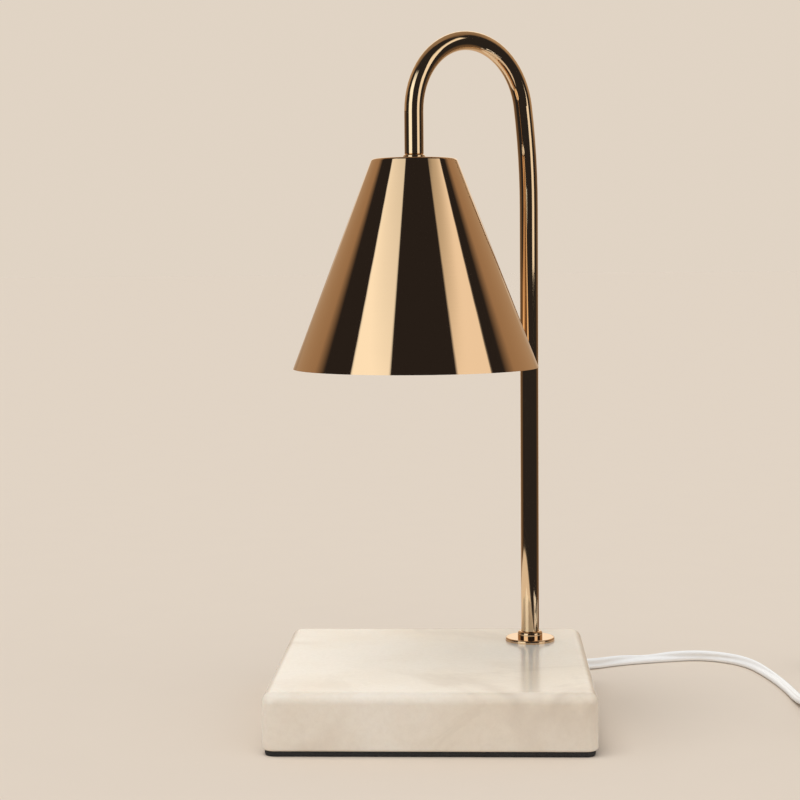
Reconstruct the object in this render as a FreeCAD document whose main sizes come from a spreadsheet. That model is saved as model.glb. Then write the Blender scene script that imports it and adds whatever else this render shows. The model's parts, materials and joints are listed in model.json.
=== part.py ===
"""Candle warmer lamp: a marble slab, a gooseneck tube and a cone shade over a reflector bulb.

Millimetres. +Z is up, +X is the lamp's right and +Y its back. The origin is the centre of the
foam pad's underside, on the table.
"""

import FreeCAD, Part
import math
import os
import re
import Sketcher

Vector = FreeCAD.Vector
Rotation = FreeCAD.Rotation
Constraint = Sketcher.Constraint

# Name, value and meaning of each size that can be set by itself (millimetres, degrees).
DRIVING_SIZES = [
    ("base_side", "150", "side of the square marble slab"),
    ("base_thick", "26", "thickness of the slab"),
    ("corner_round", "6", "radius of the slab's upright corners"),
    ("top_round", "5", "radius of the slab's top edges"),
    ("under_round", "1.2", "radius of the slab's bottom edges"),
    ("pad_thick", "2.5", "thickness of the foam pad glued under the slab"),
    ("pad_inset", "1.2", "how far the pad stays inside the slab's sides"),
    ("pole_from_side", "27", "pole axis to the slab's right side"),
    ("pole_from_back", "32.5", "pole axis to the slab's back"),
    ("web", "10", "marble left over the wiring recess in the slab's underside"),
    ("recess_right", "18", "pole axis to the recess's right wall"),
    ("recess_left", "42", "pole axis to the recess's left wall"),
    ("recess_back", "20", "pole axis to the recess's back wall"),
    ("recess_front", "24", "pole axis to the recess's front wall"),
    ("recess_round", "8", "radius of the recess's corners"),
    ("channel_wide", "9", "width of the cord channel to the slab's back"),
    ("channel_high", "8", "height of the cord channel"),
    ("channel_round", "2", "radius of the channel's upper edges"),
    ("cord_from_side", "15", "cord channel's middle to the slab's right side"),
    ("cord_wide", "5.6", "width of the cord"),
    ("cord_thick", "2.8", "thickness of the flat cord, as it lies in the coil"),
    ("core_wide", "2", "diameter of one insulated conductor"),
    ("core_apart", "2.3", "between the middles of the two conductors"),
    ("bushing_long", "8", "length of the rubber bushing in the channel"),
    ("bushing_sunk", "4.5", "how deep the bushing lies in the channel"),
    ("fit", "0.2", "clearance between rubber or plastic pieces that slide together"),
    ("metal_fit", "0.05", "radial clearance between turned metal pieces"),
    ("tube_wide", "9", "outer diameter of the gooseneck tube"),
    ("tube_wall", "1", "wall of the gooseneck tube"),
    ("tube_end_round", "0.5", "radius at the tube's upper, outer end"),
    ("pole_rise", "214.8", "straight height of the pole above the flange"),
    ("ease_radius", "325", "radius of the slight lean that starts the arch"),
    ("ease_angle", "8.8", "turn of that slight lean"),
    ("bow_radius", "35", "radius of the arch"),
    ("neck_drop", "20.25", "straight neck below the arch"),
    ("arm_turn", "221.5", "direction of the arch seen from above, from +X"),
    ("thread_wide", "8", "thread diameter of both nipples"),
    ("nipple_bore", "5.2", "wire bore of both nipples"),
    ("spigot_long", "12", "length of the nipples brazed into the tube"),
    ("thread_over", "1.5", "thread that stands out of each nut"),
    ("flange_wide", "24.6", "diameter of the pole's flange"),
    ("flange_thick", "1.7", "thickness of the flange"),
    ("ring_wide", "12.4", "diameter of the collar round the pole's foot"),
    ("ring_high", "3.2", "height of that collar"),
    ("ring_round", "1.5", "radius of the collar's shoulder"),
    ("nut_across", "13", "width of the hexagon nuts across their flats"),
    ("nut_high", "4", "height of the hexagon nuts"),
    ("big_washer_wide", "22", "diameter of the washer under the slab"),
    ("washer_wide", "15", "diameter of the small washers"),
    ("washer_thick", "1.2", "thickness of every washer"),
    ("bead_wide", "10.4", "diameter of the rounded ring between tube and shade"),
    ("bead_thick", "2", "thickness of that ring"),
    ("shade_top_wide", "40.2", "diameter of the shade's flat top"),
    ("shade_rim_wide", "116", "diameter of the shade's rim"),
    ("shade_high", "98.1", "height of the shade"),
    ("shade_wall", "0.9", "thickness of the shade's sheet"),
    ("shade_top_round", "1.4", "radius where the shade's top turns into the cone"),
    ("strap_long", "26.4", "outer length of the holder's strap"),
    ("strap_wide", "12", "width of the strap"),
    ("strap_thick", "1.2", "thickness of the strap"),
    ("strap_high", "16", "height of the strap"),
    ("strap_foot", "6.8", "length of the strap's turned-in feet"),
    ("holder_wide", "27", "diameter of the ceramic lamp holder"),
    ("holder_high", "16", "height of the ceramic lamp holder"),
    ("screw_wide", "3", "diameter of the small screws"),
    ("screw_head_wide", "5", "diameter of their heads"),
    ("screw_head_high", "1.6", "height of their heads"),
    ("screw_long", "6", "length of the strap's screws"),
    ("pin_apart", "10", "between the bulb's two pins"),
    ("pin_wide", "3", "diameter of a pin's neck"),
    ("pin_head_wide", "5", "diameter of a pin's head"),
    ("pin_head_high", "2.5", "height of a pin's head"),
    ("pin_play", "0.3", "play of a pin's neck and head in the holder's slot"),
    ("slot_ledge", "3", "thickness of the ledge that the pins' heads lock behind"),
    ("slot_over", "1.5", "free height over the pins' heads"),
    ("lock_turn", "40", "turn that locks the bulb in its holder"),
    ("bulb_gap", "0.3", "gap between the bulb and its holder"),
    ("bulb_neck_wide", "24", "diameter of the bulb's neck"),
    ("bulb_neck_high", "12", "height of the bulb's neck"),
    ("bulb_wide", "50", "diameter of the bulb's face"),
    ("bulb_high", "46.5", "height of the bulb without its pins"),
    ("glass_wall", "1.6", "wall of the bulb's reflector"),
    ("lens_thick", "1.5", "thickness of the bulb's front glass"),
    ("lens_sunk", "2", "rim of the reflector below the front glass's upper face"),
    ("capsule_wide", "9", "diameter of the lamp capsule in the reflector"),
    ("capsule_long", "17", "length of the capsule"),
    ("block_long", "18", "length of the terminal block, along its wires"),
    ("block_wide", "17", "width of the terminal block"),
    ("block_high", "11", "height of the terminal block"),
    ("block_pitch", "8", "between the block's two channels"),
    ("block_bore", "4", "bore of the block's wire channels"),
    ("wire_level", "3", "height of the wires over the foam pad"),
    ("dimmer_long", "60", "length of the dimmer in the cord"),
    ("dimmer_wide", "26", "width of the dimmer"),
    ("dimmer_high", "17", "height of the dimmer"),
    ("dimmer_wall", "1.8", "wall of the dimmer's two shells"),
    ("dimmer_round", "10", "radius of the dimmer's upright corners"),
    ("dimmer_edge", "2.4", "radius of the dimmer's top and bottom edges"),
    ("boss_wide", "6.4", "diameter of the dimmer's screw bosses"),
    ("boss_inset", "8", "from the dimmer's end to a screw"),
    ("dimmer_screw_long", "12", "length of the dimmer's screws"),
    ("wheel_wide", "22", "diameter of the dimmer's thumb wheel"),
    ("wheel_thick", "4.4", "thickness of the thumb wheel"),
    ("wheel_out", "3", "how far the thumb wheel stands out of the dimmer's side"),
    ("wheel_gap", "0.5", "gap round the thumb wheel"),
    ("wheel_ridges", "30", "count of grooves in the thumb wheel's rim"),
    ("wheel_groove", "0.7", "radius of a groove in the thumb wheel's rim"),
    ("stub_wide", "3.9", "diameter of the thumb wheel's stub shaft"),
    ("stub_long", "2", "length of the stub shaft at each side"),
    ("board_gap", "0.8", "gap between the circuit board and each boss"),
    ("board_wide", "18", "width of the circuit board"),
    ("board_thick", "1.4", "thickness of the circuit board"),
    ("board_level", "2.6", "height of the circuit board over the table"),
    ("control_side", "8", "side of the turning control on the board"),
    ("relief_long", "14", "length of each strain relief"),
    ("relief_wide", "9", "diameter of a strain relief at its housing"),
    ("relief_tip", "6.4", "diameter of a strain relief at its tip"),
    ("relief_groove", "0.7", "depth of the grooves in a strain relief"),
    ("plug_long", "27", "length of the plug's body"),
    ("plug_wide", "25", "width of the plug's face"),
    ("plug_thick", "16", "thickness of the plug's face"),
    ("plug_round", "4", "radius of the plug's long edges"),
    ("blade_long", "17.5", "length of a plug blade"),
    ("blade_wide", "6.35", "width of a plug blade"),
    ("blade_thick", "1.5", "thickness of a plug blade"),
    ("blades_apart", "12.7", "between the two blades' middles"),
    ("blade_hole", "3.2", "diameter of the hole near a blade's tip"),
    ("coil_mean", "60", "diameter of the coil at the middle of its turns"),
    ("coil_columns", "3", "turns side by side in the coil"),
    ("coil_layers", "2", "turns on each other in the coil"),
    ("coil_slack", "0.2", "room that each turn has across and in height"),
    ("coil_lift", "1.2", "height of the coil's underside, on its tie"),
    ("tie_wide", "8", "width of the tie round the coil"),
    ("tie_thick", "0.8", "thickness of the tie"),
]

# Name, formula and meaning of each size that follows from the ones above.
DERIVED_SIZES = [
    ("top_level", "=pad_thick + base_thick", "height of the slab's top"),
    ("roof_level", "=top_level - web", "height of the recess's ceiling"),
    ("foot_level", "=top_level + flange_thick", "height of the tube's foot"),
    ("back_side", "=base_side / 2", "y of the slab's back"),
    ("pole_x", "=base_side / 2 - pole_from_side", "x of the pole's axis"),
    ("pole_y", "=base_side / 2 - pole_from_back", "y of the pole's axis"),
    ("cord_x", "=base_side / 2 - cord_from_side", "x of the cord's channel"),
    ("cord_level", "=pad_thick + channel_high / 2", "height of the cord in its channel"),
    ("table_level", "=cord_wide / 2 + 0.1", "height of the cord's middle on the table"),
    ("tube_bore", "=tube_wide - 2 * tube_wall", "bore of the tube"),
    ("ease_aside", "=ease_radius * (1 - cos(ease_angle))", "sideways reach of the lean"),
    ("ease_rise", "=ease_radius * sin(ease_angle)", "height of the lean"),
    ("bow_aside", "=ease_aside + bow_radius * cos(ease_angle)", "pole axis to arch centre"),
    ("bow_rise", "=pole_rise + ease_rise - bow_radius * sin(ease_angle)", "foot to arch centre"),
    ("arm_reach", "=bow_aside + bow_radius", "pole axis to shade axis"),
    ("neck_level", "=foot_level + bow_rise - neck_drop", "height of the tube's upper end"),
    ("shade_x", "=pole_x + arm_reach * cos(arm_turn)", "x of the shade's axis"),
    ("shade_y", "=pole_y + arm_reach * sin(arm_turn)", "y of the shade's axis"),
    ("shade_top", "=neck_level - bead_thick", "height of the shade's flat top"),
    ("rim_level", "=shade_top - shade_high", "height of the shade's rim"),
    ("shade_slope", "=(shade_rim_wide - shade_top_wide) / 2 / shade_high", "slope of the cone"),
    ("shade_skin", "=shade_wall * sqrt(1 + shade_slope ^ 2)", "level width of the cone's wall"),
    ("strap_top", "=shade_top - shade_wall", "height of the strap's upper face"),
    ("strap_under", "=strap_top - strap_thick", "height of its plate's lower face"),
    ("holder_top", "=strap_top - strap_high", "height of the holder's upper face"),
    ("holder_face", "=holder_top - holder_high", "height of the holder's lower face"),
    ("bulb_top", "=holder_face - bulb_gap", "height of the bulb's upper face"),
    ("hole_wide", "=thread_wide + 4 * metal_fit", "holes that the nipples pass through"),
    ("base_thread", "=flange_thick + web + 2 * washer_thick + nut_high + thread_over",
     "length of the thread through the slab"),
    ("neck_thread",
     "=bead_thick + shade_wall + strap_thick + washer_thick + nut_high + thread_over",
     "length of the thread through the shade"),
    ("screw_out", "=strap_long / 2 - strap_thick - screw_head_wide / 2 - 0.3", "axis to a screw"),
    ("block_x", "=pole_x - 25", "x of the terminal block's middle"),
    ("block_y", "=pole_y - recess_front + 11.5", "y of the terminal block's front face"),
    ("bosses_apart", "=dimmer_long - 2 * boss_inset", "between the dimmer's two screws"),
    ("board_long", "=bosses_apart - boss_wide - 2 * board_gap", "length of the circuit board"),
    ("wheel_y", "=dimmer_wide / 2 + wheel_out - wheel_wide / 2", "wheel's axis, off the middle"),
    ("plug_level", "=plug_thick / 2 + 0.1", "height of the plug's middle"),
    ("coil_high", "=coil_layers * (cord_thick + coil_slack)", "height of the coil"),
    ("coil_level", "=coil_lift + coil_high / 3", "height of the cord's ends at the coil"),
    ("coil_band", "=coil_columns * cord_wide + coil_slack", "width of the coil's band of turns"),
]

# Corners of the cord's route: sideways and backwards from the route's start, and the share of
# the rise from the table to the level of the route's nearer end.
LEAD_ROUTE = [(0, -13, 1), (0, 4.5, 1), (7, 21.5, 0.5), (24, 32, 0.2), (52.5, 43.5, 0.03),
              (86, 49, 0), (107, 34, 0), (115, 2, 0), (119, -25, 0), (120, -54, 0),
              (122.5, -76, 0.7), (128, -92, 1)]
LINK_ROUTE = [(0, 0, 1), (5.9, -18.1, 0.75), (20.4, -30.3, 0.2), (39.2, -32.9, 0),
              (56.6, -25.2, 0), (67.2, -9.4, 0), (68, 12.5, 0), (67.7, 44.5, 0), (68.9, 77.5, 1)]
TAIL_ROUTE = [(39.5, 116.8, 1), (23.7, 119.6, 0.7), (10.7, 129, 0), (3.1, 143, 0.5),
              (2.2, 159, 1)]
ARC_SHARE = 0.45
DIMMER_TURN = -72
COIL_PLACE = (33.3, 81.7)
TIE_TURN = 200
PLUG_TURN = 93

document = FreeCAD.newDocument("candle_warmer_lamp")
sheet = document.addObject("Spreadsheet::Sheet", "sizes")
names = {name for name, _, _ in DRIVING_SIZES + DERIVED_SIZES}
nodes = []


def fill_sheet():
    for line, (name, content, meaning) in enumerate(DRIVING_SIZES + DERIVED_SIZES, start=1):
        sheet.set(f"A{line}", meaning)
        sheet.set(f"B{line}", content)
        sheet.setAlias(f"B{line}", name)
    document.recompute()


def linked(formula):
    """A formula in the sheet's names, as an object outside the sheet writes it."""
    def full(word):
        return "sizes." + word[0] if word[0] in names else word[0]

    return re.sub(r"[a-z][a-z_]+", full, str(formula))


def number(formula):
    return float(sheet.evalExpression(str(formula)))


def spot(x, y, z="0"):
    return Vector(number(x), number(y), number(z))


def bind(thing, **formulas):
    for name, formula in formulas.items():
        thing.setExpression(name, linked(formula))


def place(thing, x="0", y="0", z="0", turn=None):
    """Puts a sub-part at x, y, z, turned about the upright axis."""
    if turn is not None:
        thing.Placement.Rotation = Rotation(Vector(0, 0, 1), 1)
        bind(thing, **{"Placement.Rotation.Angle": turn})
    bind(thing, **{"Placement.Base.x": x, "Placement.Base.y": y, "Placement.Base.z": z})


def lay(thing, x, y, z, heading):
    """Puts a sub-part at x, y, z with its own upright axis lying along the heading."""
    thing.Placement.Rotation = Rotation(Vector(0, 0, 1), heading) * Rotation(Vector(0, 1, 0), 90)
    bind(thing, **{"Placement.Base.x": x, "Placement.Base.y": y, "Placement.Base.z": z})


def ahead(x, y, heading, distance):
    """x and y formulas of the spot that lies a distance ahead of x, y."""
    return f"{x} + ({distance}) * cos({heading})", f"{y} + ({distance}) * sin({heading})"


# Sketches and features


def new_body(label, kept=True):
    body = document.addObject("PartDesign::Body", label)
    if kept:
        nodes.append(body)
    return body


def new_sketch(body, role="XY_Plane", height="0"):
    sketch = body.newObject("Sketcher::SketchObject", body.Name + "_sketch")
    plane = next(item for item in body.Origin.OriginFeatures if item.Role == role)
    sketch.AttachmentSupport = (plane, [""])
    sketch.MapMode = "FlatFace"
    bind(sketch, **{"AttachmentOffset.Base.z": height})
    return sketch


def constrain(sketch, formula, *description):
    """A constraint whose value stays bound to its formula."""
    value = number(formula)
    if description[0] == "Angle":
        value = math.radians(value)
    index = sketch.addConstraint(Constraint(*description, value))
    bind(sketch, **{f"Constraints[{index}]": formula})


def hold(sketch, line, end, x, y):
    """Holds one point of a sketch line at its two sizes."""
    for kind, axis, formula in (("DistanceX", -2, x), ("DistanceY", -1, y)):
        if formula == "0":
            sketch.addConstraint(Constraint("PointOnObject", line, end, axis))
        else:
            constrain(sketch, formula, kind, -1, 1, line, end)


def outline(sketch, corners):
    """A closed outline of straight sides through corners given as pairs of formulas."""
    spots = [spot(x, y) for x, y in corners]
    first = sketch.GeometryCount
    count = len(corners)
    for index, corner in enumerate(spots):
        sketch.addGeometry(Part.LineSegment(corner, spots[(index + 1) % count]))
    for index, (x, y) in enumerate(corners):
        before = first + (index - 1) % count
        sketch.addConstraint(Constraint("Coincident", before, 2, first + index, 1))
        hold(sketch, first + index, 1, x, y)
    return sketch


def box_outline(sketch, left, front, right, back):
    return outline(sketch, [(left, front), (right, front), (right, back), (left, back)])


def round_box(sketch, half_x, half_y, radius):
    """A rectangle with rounded corners about the sketch's origin."""
    wide, tall, bend = number(half_x), number(half_y), number(radius)
    arcs = []
    for x, y, start in ((1, 1, 0), (-1, 1, 90), (-1, -1, 180), (1, -1, 270)):
        centre = Vector(x * (wide - bend), y * (tall - bend), 0)
        ring = Part.Circle(centre, Vector(0, 0, 1), bend)
        arc = Part.ArcOfCircle(ring, math.radians(start), math.radians(start + 90))
        arcs.append(sketch.addGeometry(arc))
    for index, arc in enumerate(arcs):
        following = arcs[(index + 1) % 4]
        ends = sketch.Geometry[arc].EndPoint, sketch.Geometry[following].StartPoint
        side = sketch.addGeometry(Part.LineSegment(*ends))
        sketch.addConstraint(Constraint("Tangent", arc, 2, side, 1))
        sketch.addConstraint(Constraint("Tangent", side, 2, following, 1))
        sketch.addConstraint(Constraint("Vertical" if index % 2 else "Horizontal", side))
        if index:
            sketch.addConstraint(Constraint("Equal", arcs[0], arc))
    hold(sketch, arcs[0], 3, f"{half_x} - {radius}", f"{half_y} - {radius}")
    hold(sketch, arcs[2], 3, f"{radius} - {half_x}", f"{radius} - {half_y}")
    constrain(sketch, radius, "Radius", arcs[0])
    return sketch


def circle(sketch, radius, x="0", y="0"):
    line = sketch.addGeometry(Part.Circle(spot(x, y), Vector(0, 0, 1), number(radius)))
    hold(sketch, line, 3, x, y)
    constrain(sketch, radius, "Radius", line)
    return sketch


def pad(body, sketch, length, back=False):
    feature = body.newObject("PartDesign::Pad", body.Name + "_pad")
    feature.Profile = sketch
    feature.Reversed = back
    bind(feature, Length=length)
    document.recompute()
    return feature


def cut_with(feature, before):
    document.recompute()
    if not feature.Shape.Volume < before:
        raise ValueError(f"{feature.Name} cuts nothing")
    return feature


def pocket(body, sketch, length, back=False):
    """A cut against the sketch's normal; back turns it along the normal."""
    before = body.Shape.Volume
    feature = body.newObject("PartDesign::Pocket", body.Name + "_pocket")
    feature.Profile = sketch
    feature.Reversed = back
    bind(feature, Length=length)
    return cut_with(feature, before)


def groove(body, sketch, angle="360"):
    before = body.Shape.Volume
    feature = body.newObject("PartDesign::Groove", body.Name + "_groove")
    feature.Profile = sketch
    feature.ReferenceAxis = (sketch, ["V_Axis"])
    bind(feature, Angle=angle)
    return cut_with(feature, before)


def soften(body, radius, chosen, kind="Fillet"):
    """A fillet or chamfer on every edge of the body that the test chooses."""
    base = body.Tip
    edges = [f"Edge{i}" for i, edge in enumerate(base.Shape.Edges, start=1) if chosen(edge)]
    if not edges:
        raise ValueError(f"{base.Name} has no edge to soften")
    feature = body.newObject("PartDesign::" + kind, body.Name + "_" + kind.lower())
    feature.Base = (base, edges)
    bind(feature, **{"Radius" if kind == "Fillet" else "Size": radius})
    document.recompute()


def around(body, features, count):
    """Repeats cuts evenly about the body's upright axis."""
    pattern = body.newObject("PartDesign::PolarPattern", body.Name + "_pattern")
    pattern.Originals = features
    axis = next(item for item in body.Origin.OriginFeatures if item.Role == "Z_Axis")
    pattern.Axis = (axis, [""])
    pattern.Angle = 360
    bind(pattern, Occurrences=count)
    body.Tip = pattern
    document.recompute()


def turned(label, corners, kept=True):
    """A turned piece: its half profile, as radius and height, revolved about the upright axis."""
    body = new_body(label, kept)
    profile = outline(new_sketch(body, "XZ_Plane"), corners)
    feature = body.newObject("PartDesign::Revolution", label + "_turned")
    feature.Profile = profile
    feature.ReferenceAxis = (profile, ["V_Axis"])
    feature.Angle = 360
    document.recompute()
    return body


def ring_profile(inner, outer, low, high):
    return [(inner, low), (outer, low), (outer, high), (inner, high)]


def shaped(label, shape):
    """A sub-part whose shape is worked out here from the sheet's sizes."""
    feature = document.addObject("Part::Feature", label)
    feature.Shape = shape
    nodes.append(feature)


def repeated(label, pattern, spots, rotation):
    """Copies of one piece, in one node."""
    copies = []
    for corner in spots:
        copy = pattern.Shape.copy()
        copy.Placement = FreeCAD.Placement(corner, rotation)
        copies.append(copy)
    shaped(label, Part.makeCompound(copies))


# Tests that choose edges


def upright(edge):
    ends = [vertex.Point for vertex in edge.Vertexes]
    return len(ends) == 2 and abs(ends[0].z - ends[1].z) > 0.99 * edge.Length


def at_height(height):
    return lambda edge: all(abs(vertex.Point.z - height) < 1e-4 for vertex in edge.Vertexes)


def ring_at(radius, height):
    """Chooses the full circle of that radius about the upright axis at that height."""
    def chosen(edge):
        box = edge.BoundBox
        level = abs(box.ZMin - height) < 1e-3 and abs(box.ZMax - height) < 1e-3
        return level and abs(box.XMax - radius) < 1e-2 and abs(box.XMin + radius) < 1e-2

    return chosen


# Base


def marble_base():
    body = new_body("marble_base")
    half = "base_side / 2"
    pad(body, box_outline(new_sketch(body), "-" + half, "-" + half, half, half), "base_thick")
    soften(body, "corner_round", upright)
    soften(body, "top_round", at_height(number("base_thick")))
    soften(body, "under_round", at_height(0))
    left, front = "pole_x - recess_left", "pole_y - recess_front"
    right, back = "pole_x + recess_right", "pole_y + recess_back"
    pocket(body, box_outline(new_sketch(body), left, front, right, back), "base_thick - web", True)
    corners = [spot(x, y) for x in (left, right) for y in (front, back)]

    def recess_corner(edge):
        middle = edge.CenterOfMass
        return upright(edge) and any(
            math.hypot(middle.x - corner.x, middle.y - corner.y) < 1e-3 for corner in corners
        )

    soften(body, "recess_round", recess_corner)
    channel = box_outline(
        new_sketch(body),
        "cord_x - channel_wide / 2",
        "pole_y + recess_back - recess_round",
        "cord_x + channel_wide / 2",
        "back_side + 1",
    )
    pocket(body, channel, "channel_high", True)
    level, across, middle_x = number("channel_high"), number("channel_wide / 2"), number("cord_x")

    def channel_edge(edge):
        middle = edge.CenterOfMass
        along = abs(middle.z - level) < 1e-3 and edge.BoundBox.YLength > 5
        return along and abs(abs(middle.x - middle_x) - across) < 1e-3

    soften(body, "channel_round", channel_edge)
    hole = circle(new_sketch(body), "hole_wide / 2 + fit", "pole_x", "pole_y")
    pocket(body, hole, "base_thick + 1", True)
    place(body, z="pad_thick")


def base_pad():
    body = new_body("base_pad")
    half = "(base_side / 2 - pad_inset)"
    pad(body, box_outline(new_sketch(body), "-" + half, "-" + half, half, half), "pad_thick")
    soften(body, "corner_round - pad_inset", upright)
    place(body)


def pole_flange():
    outer = "flange_wide / 2"
    body = turned("pole_flange", ring_profile("hole_wide / 2", outer, "0", "flange_thick"))
    soften(body, "flange_thick / 2", ring_at(number(outer), number("flange_thick")))
    place(body, "pole_x", "pole_y", "top_level")


def pole_ring():
    outer = "ring_wide / 2"
    body = turned("pole_ring", ring_profile("tube_wide / 2 + metal_fit", outer, "0", "ring_high"))
    soften(body, "ring_round", ring_at(number(outer), number("ring_high")))
    place(body, "pole_x", "pole_y", "foot_level")


def nipple(label, thread_long, x, y, z):
    """A hollow threaded nipple: its spigot is brazed into the tube, its thread hangs below."""
    bore = "nipple_bore / 2"
    spigot = "tube_bore / 2 - metal_fit"
    thread = "thread_wide / 2"
    body = turned(label, [
        (bore, "-" + thread_long),
        (thread + " - 0.5", "-" + thread_long),
        (thread, "0.5 - " + thread_long),
        (thread, "0"),
        (spigot, "0"),
        (spigot, "spigot_long"),
        (bore, "spigot_long"),
    ])
    place(body, x, y, z)


def washer(label, wide, x, y, z, split=False):
    """A ring below z; a spring washer is cut through at one side."""
    body = turned(label, ring_profile("hole_wide / 2", wide + " / 2", "-washer_thick", "0"))
    if split:
        slit = box_outline(new_sketch(body), "0.1", "-0.6", wide, "0.6")
        pocket(body, slit, "2 * washer_thick")
    place(body, x, y, z)


def hex_nut(label, x, y, z):
    body = new_body(label)
    reach, flat, half_flat = "nut_across / sqrt(3)", "nut_across / 2", "nut_across / sqrt(12)"
    corners = [(reach, "0"), (half_flat, flat), ("-" + half_flat, flat), ("-" + reach, "0"),
               ("-" + half_flat, "-" + flat), (half_flat, "-" + flat)]
    pad(body, outline(new_sketch(body), corners), "nut_high", True)
    beyond = reach + " + 1"
    groove(body, outline(new_sketch(body, "XZ_Plane"), [
        (flat, "-nut_high"), (beyond, "-nut_high"), (beyond, "-nut_high * 0.7")
    ]))
    pocket(body, circle(new_sketch(body), "thread_wide / 2 + metal_fit"), "nut_high + 1")
    place(body, x, y, z)


def base_fixings():
    nipple("base_nipple", "base_thread", "pole_x", "pole_y", "foot_level")
    washer("base_washer", "big_washer_wide", "pole_x", "pole_y", "roof_level")
    below = "roof_level - washer_thick"
    washer("base_lock_washer", "washer_wide", "pole_x", "pole_y", below, split=True)
    hex_nut("base_nut", "pole_x", "pole_y", below + " - washer_thick")


def cord_bushing():
    """A rubber block that fills the channel behind its mouth, with the cord's bore through it."""
    body = new_body("cord_bushing")
    wide = "(channel_wide / 2 - fit / 2)"
    tall = "(channel_high / 2 - fit / 2)"
    front = new_sketch(body, "XZ_Plane")
    pad(body, box_outline(front, "-" + wide, "-" + tall, wide, tall), "bushing_long")
    long = number("bushing_long")

    def upper(edge):
        return edge.BoundBox.YLength > long - 0.01 and edge.CenterOfMass.z > 0

    soften(body, "channel_round", upper)
    bore = circle(new_sketch(body, "XZ_Plane"), "cord_wide / 2 + fit / 2")
    pocket(body, bore, "bushing_long + 1", True)
    place(body, "cord_x", "back_side - bushing_sunk", "cord_level")


def block_screw_spots():
    return [(x, y) for x in ("-block_pitch / 2", "block_pitch / 2")
            for y in ("block_long / 4", "block_long * 3 / 4")]


def terminal_block():
    """Two wire channels under four clamping screws, lying on the foam pad."""
    body = new_body("terminal_block")
    half = "block_wide / 2"
    pad(body, box_outline(new_sketch(body), "-" + half, "0", half, "block_long"), "block_high")
    face = new_sketch(body, "XZ_Plane")
    for side in ("-block_pitch / 2", "block_pitch / 2"):
        circle(face, "block_bore / 2", side, "wire_level")
    pocket(body, face, "block_long + 1")
    top = new_sketch(body, height="block_high")
    for x, y in block_screw_spots():
        circle(top, "block_bore / 2 - 0.1", x, y)
    pocket(body, top, "block_high - wire_level")
    valley = box_outline(new_sketch(body, height="block_high"), "-1", "-1", "1", "block_long + 1")
    pocket(body, valley, "block_high / 3")
    place(body, "block_x", "block_y", "pad_thick")


def slotted_screw(head, head_high, shank, shank_long):
    """One screw, head up, its shank below the origin."""
    body = turned("screw_pattern", [
        ("0", "-" + shank_long), (shank, "-" + shank_long), (shank, "0"), (head, "0"),
        (head, head_high), ("0", head_high),
    ], kept=False)
    beyond = head + " + 1"
    slot = new_sketch(body, height=head_high)
    pocket(body, box_outline(slot, f"-({beyond})", "-0.35", beyond, "0.35"), head_high + " / 2")
    return body


def terminal_screws():
    pattern = slotted_screw("block_bore / 2 - 0.2", "1.5", "block_bore / 3", "4")
    level = "pad_thick + wire_level + core_wide / 2 + 4.05"
    spots = [spot(f"block_x + {x}", f"block_y + {y}", level) for x, y in block_screw_spots()]
    repeated("terminal_screws", pattern, spots, Rotation())


# Gooseneck


def lamp_tube():
    """One tube: a straight pole, a slight lean, the arch and a short straight neck."""
    body = new_body("lamp_tube")
    spine = new_sketch(body, "XZ_Plane")
    lean = math.radians(number("ease_angle"))
    arch = spot("bow_aside", "bow_rise")
    far = spot("arm_reach", "bow_rise")
    normal = Vector(0, 0, 1)
    ease_ring = Part.Circle(spot("ease_radius", "pole_rise"), normal, number("ease_radius"))
    bow_ring = Part.Circle(arch, normal, number("bow_radius"))
    pole = spine.addGeometry(Part.LineSegment(Vector(), spot("0", "pole_rise")))
    ease = spine.addGeometry(Part.ArcOfCircle(ease_ring, math.pi - lean, math.pi))
    bow = spine.addGeometry(Part.ArcOfCircle(bow_ring, 0, math.pi - lean))
    end = spot("arm_reach", "bow_rise - neck_drop")
    neck = spine.addGeometry(Part.LineSegment(far, end))
    spine.addConstraint([
        Constraint("Coincident", pole, 1, -1, 1),
        Constraint("Vertical", pole),
        Constraint("Tangent", pole, 2, ease, 2),
        Constraint("Tangent", ease, 1, bow, 2),
        Constraint("Tangent", bow, 1, neck, 1),
        Constraint("Vertical", neck),
    ])
    constrain(spine, "pole_rise", "DistanceY", pole, 1, pole, 2)
    constrain(spine, "ease_radius", "Radius", ease)
    constrain(spine, "ease_angle", "Angle", ease)
    constrain(spine, "bow_radius", "Radius", bow)
    constrain(spine, "neck_drop", "DistanceY", neck, 2, neck, 1)
    section = circle(circle(new_sketch(body), "tube_wide / 2"), "tube_bore / 2")
    tube = body.newObject("PartDesign::AdditivePipe", "gooseneck")
    tube.Profile = section
    tube.Spine = (spine, ["Edge1", "Edge2", "Edge3", "Edge4"])
    document.recompute()
    outer = end.x + number("tube_wide / 2")

    def outer_end(edge):
        box = edge.BoundBox
        return box.ZLength < 1e-3 and abs(box.ZMax - end.y) < 1e-3 and abs(box.XMax - outer) < 1e-2

    soften(body, "tube_end_round", outer_end)
    place(body, "pole_x", "pole_y", "foot_level", "arm_turn")


def neck_fixings():
    nipple("neck_nipple", "neck_thread", "shade_x", "shade_y", "neck_level")
    washer("neck_washer", "washer_wide", "shade_x", "shade_y", "strap_under")
    hex_nut("neck_nut", "shade_x", "shade_y", "strap_under - washer_thick")


# Wires and cord


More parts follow.
